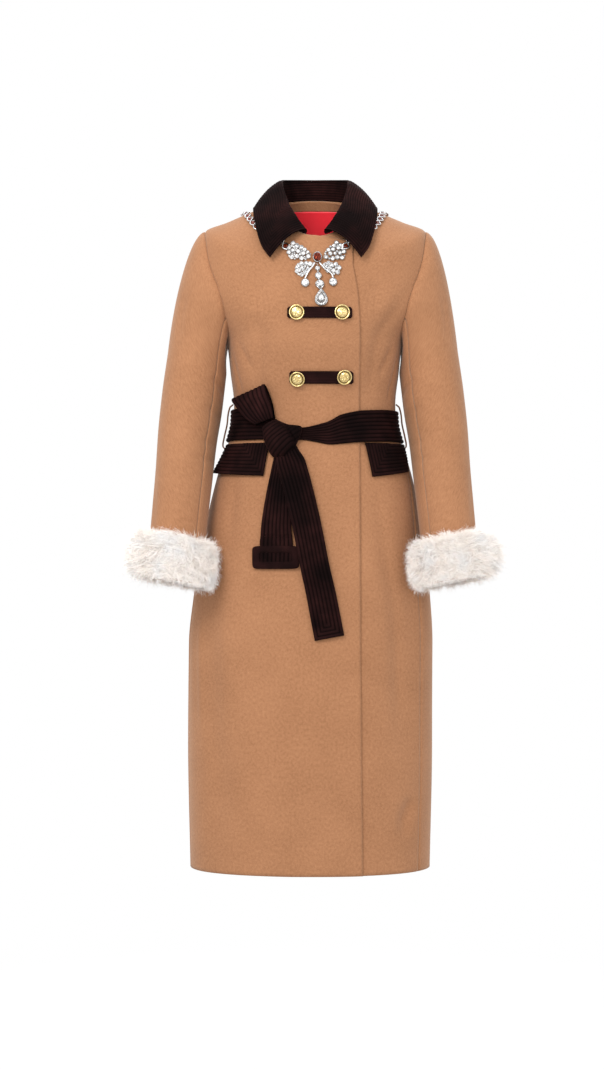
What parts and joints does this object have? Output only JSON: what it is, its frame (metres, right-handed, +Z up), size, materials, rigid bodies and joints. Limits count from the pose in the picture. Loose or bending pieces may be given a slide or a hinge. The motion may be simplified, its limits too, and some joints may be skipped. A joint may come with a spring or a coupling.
{
  "type": "overcoat",
  "caption": "Long belted overcoat in camel wool with ribbed velvet collar, belt and flaps, fur cuffs, gilt buttons and a jewelled bow.",
  "frame": {"origin": "between the shoulders at the base of the wearer's neck", "axes": "+Z up, -Y the wearer's front, +X the wearer's left"},
  "size_m": [0.6448, 0.3088, 1.205],
  "materials": {
    "camel_wool": "brushed wool coating",
    "brown_velvet": "ribbed velvet",
    "red_lining": "satin lining",
    "cream_fur": "long soft fur",
    "gold": "polished gold plate",
    "silver": "polished silver plate",
    "clear_stone": "cut clear crystal",
    "amber_stone": "cut dark red crystal"
  },
  "bodies": {
    "root": {"front_right": "camel_wool", "front_left": "camel_wool", "back": "camel_wool", "back_neck_facing": "camel_wool", "sleeve_top_right": "camel_wool", "sleeve_top_left": "camel_wool", "sleeve_under_right": "camel_wool", "sleeve_under_left": "camel_wool", "belt_carrier_right": "camel_wool", "belt_carrier_left": "camel_wool", "back_lining": "red_lining", "fur_cuff_right": "cream_fur", "fur_cuff_left": "cream_fur", "collar_stand": "brown_velvet", "collar_leaf": "brown_velvet", "belt_band": "brown_velvet", "belt_loop": "brown_velvet", "belt_knot": "brown_velvet", "belt_tail_front": "brown_velvet", "belt_tail_back": "brown_velvet", "belt_buckle": "brown_velvet", "pocket_flap_right": "brown_velvet", "pocket_flap_left": "brown_velvet", "tab_upper": "brown_velvet", "tab_lower": "brown_velvet", "button_upper_right": "gold", "button_upper_left": "gold", "button_lower_right": "gold", "button_lower_left": "gold", "bow_lobe_upper_right": "silver", "bow_lobe_upper_left": "silver", "bow_lobe_lower_right": "silver", "bow_lobe_lower_left": "silver", "bow_strand_right": "silver", "bow_strand_left": "silver", "chain_right": "silver", "chain_left": "silver", "chain_back": "silver", "bow_drop_upper": "clear_stone", "bow_drop_middle": "clear_stone", "bow_drop_lower": "clear_stone", "bow_pear": "clear_stone", "bow_side_drop_right": "clear_stone", "bow_side_drop_left": "clear_stone", "bow_centre": "amber_stone"}
  },
  "joints": []
}
